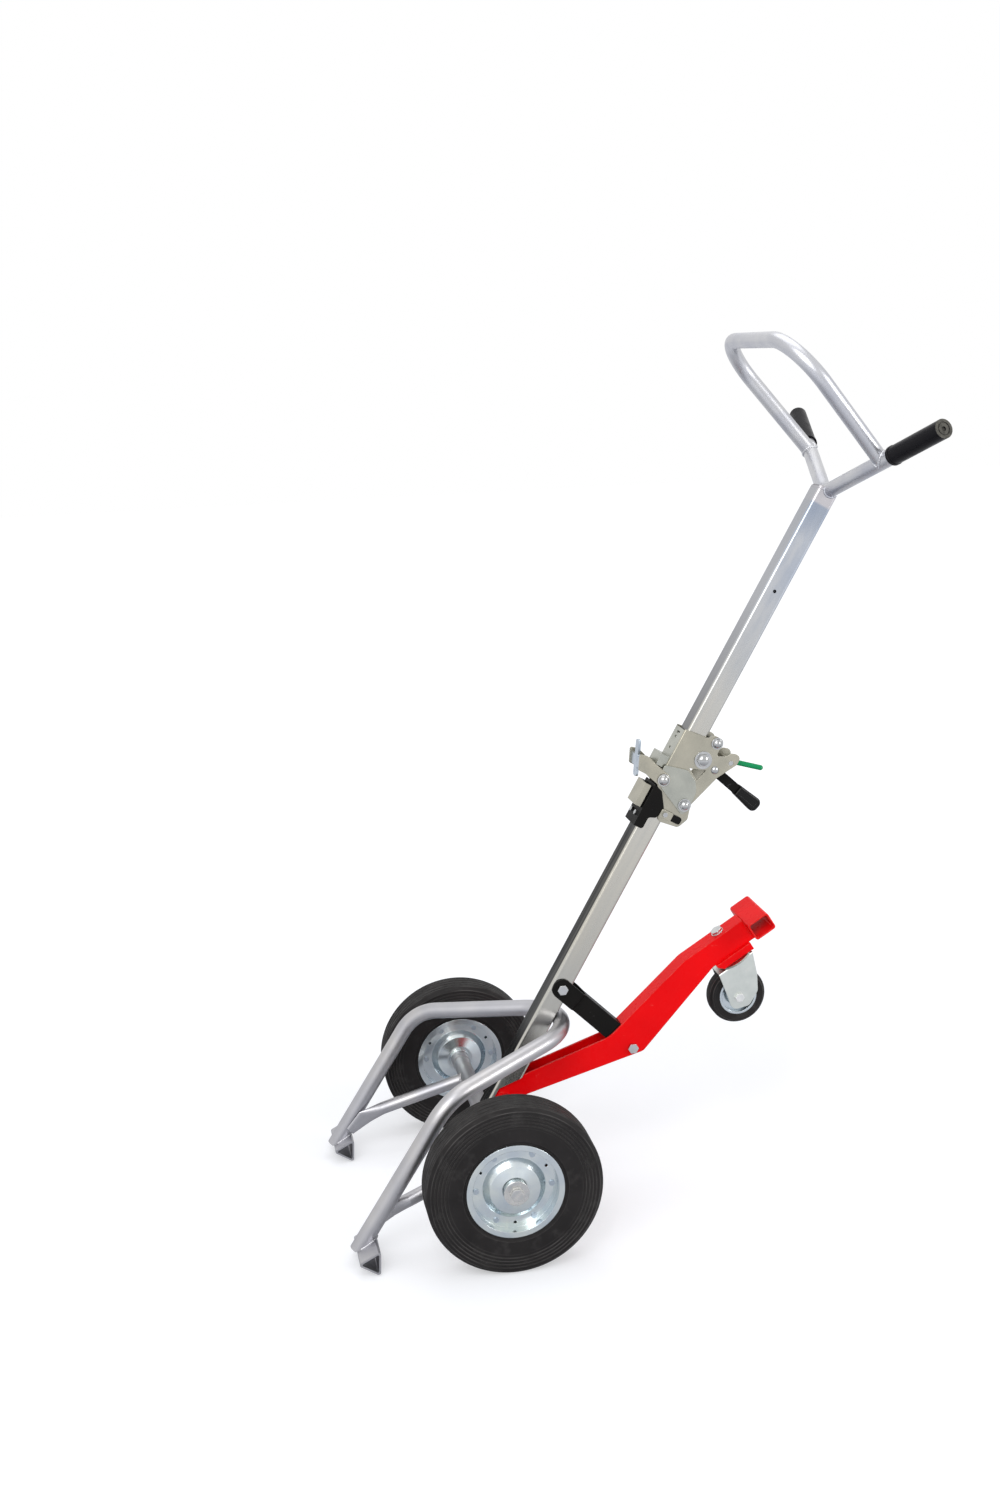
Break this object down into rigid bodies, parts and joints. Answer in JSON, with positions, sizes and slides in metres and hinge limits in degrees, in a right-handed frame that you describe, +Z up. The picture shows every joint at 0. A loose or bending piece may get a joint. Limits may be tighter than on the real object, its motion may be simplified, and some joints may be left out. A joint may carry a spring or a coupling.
{
  "type": "drum trolley",
  "caption": "Steel drum trolley with a leaning mast, rim clamp, base hoop with toes, road wheels, and a red support arm that carries a castor and a foot step.",
  "frame": {"origin": "middle of the bounding box in plan, on the floor under the wheels and toes", "axes": "+Z up, +Y to the back, towards the handles and castor, +X to the operator's left; the drum stands on the -Y side"},
  "size_m": [0.607, 0.9387, 1.4167],
  "materials": {
    "zinc": "bright zinc-plated tube, satin",
    "zinc_warm": "yellowish zinc-plated sheet",
    "rim_zinc": "bluish bright zinc",
    "bolt": "zinc-plated fasteners",
    "red_paint": "glossy red powder coat",
    "black_paint": "satin black coat",
    "tyre_rubber": "matt charcoal rubber",
    "black_rubber": "moulded black rubber",
    "grip_black": "moulded black grip",
    "green_dip": "glossy green dip coat",
    "glide": "natural nylon"
  },
  "bodies": {
    "frame": {"mast_tube": "zinc", "base_hoop": "zinc", "axle_tube": "zinc", "wheel_axle": "bolt", "axle_collars": "zinc", "axle_bolts": "bolt", "handlebar": "zinc", "push_loop": "zinc", "support_arm": "red_paint", "castor_base_plate": "red_paint", "foot_step": "red_paint", "arm_lugs": "zinc", "arm_pivot_bolt": "bolt", "arm_stay": "black_paint", "stay_bolts": "bolt", "castor_bolt": "bolt", "castor_head": "zinc", "toe_left": "zinc", "toe_right": "zinc", "brace_left": "zinc", "brace_right": "zinc", "grip_left": "grip_black", "grip_right": "grip_black"},
    "wheel_left": {"tyre_left": "tyre_rubber", "rim_outer_left": "rim_zinc", "rim_inner_left": "rim_zinc", "rim_bolts_left": "rim_zinc", "hub_left": "rim_zinc"},
    "wheel_right": {"tyre_right": "tyre_rubber", "rim_outer_right": "rim_zinc", "rim_inner_right": "rim_zinc", "rim_bolts_right": "rim_zinc", "hub_right": "rim_zinc"},
    "castor_swivel": {"castor_fork": "zinc", "castor_axle": "bolt"},
    "castor_wheel": {"castor_hub": "rim_zinc", "castor_tyre": "tyre_rubber"},
    "clamp_carriage": {"carriage_strap": "zinc_warm", "front_glide": "glide", "rear_glide": "glide", "side_plate_left": "zinc_warm", "side_plate_right": "zinc_warm", "jaw_cheek_left": "zinc_warm", "jaw_cheek_right": "zinc_warm", "carriage_spacers": "bolt", "carriage_bolts": "bolt", "clamp_screws": "bolt", "pad_bracket": "black_paint", "rim_pad": "black_rubber", "pad_plate": "zinc_warm", "buffer_block": "black_rubber", "buffer_clips": "zinc_warm", "hook_pivots": "bolt", "pivot_pins": "bolt"},
    "rim_hook": {"hook_arms": "zinc_warm", "hook_blade": "rim_zinc"},
    "clamp_lever": {"lever_arm": "black_paint", "lever_grip": "grip_black"},
    "release": {"release_lever": "zinc_warm", "release_grip": "green_dip"}
  },
  "joints": [
    {"name": "wheel_left_spin", "type": "hinge", "parent": "frame", "child": "wheel_left", "pos_m": [0.26, -0.21705, 0.14], "axis": [1, 0, 0], "continuous": true},
    {"name": "wheel_right_spin", "type": "hinge", "parent": "frame", "child": "wheel_right", "pos_m": [-0.26, -0.21705, 0.14], "axis": [1, 0, 0], "continuous": true},
    {"name": "castor_turn", "type": "hinge", "parent": "frame", "child": "castor_swivel", "pos_m": [0, 0.20244, 0.42138], "axis": [0, 0.5194, -0.8546], "continuous": true},
    {"name": "castor_spin", "type": "hinge", "parent": "castor_swivel", "child": "castor_wheel", "pos_m": [0, 0.23378, 0.30819], "axis": [1, 0, 0], "continuous": true},
    {"name": "clamp_height", "type": "slide", "parent": "frame", "child": "clamp_carriage", "axis": [0, 0.5032, 0.8642], "range_m": [-0.2, 0.25]},
    {"name": "lever_swing", "type": "hinge", "parent": "clamp_carriage", "child": "clamp_lever", "pos_m": [0, 0.19192, 0.7142], "axis": [-1, 0, 0], "range_deg": [0, 65]},
    {"name": "hook_lift", "type": "hinge", "parent": "clamp_carriage", "child": "rim_hook", "pos_m": [0, 0.10155, 0.70665], "axis": [-1, 0, 0], "range_deg": [0, 20]},
    {"name": "release_lift", "type": "hinge", "parent": "clamp_carriage", "child": "release", "pos_m": [0, 0.21984, 0.7234], "axis": [1, 0, 0], "range_deg": [0, 8], "stiffness_Nm_per_rad": 0.5, "springref_deg": -20.05}
  ],
  "couplings": [
    {"joint": "hook_lift", "follows": "lever_swing", "ratio": 0.30769}
  ]
}
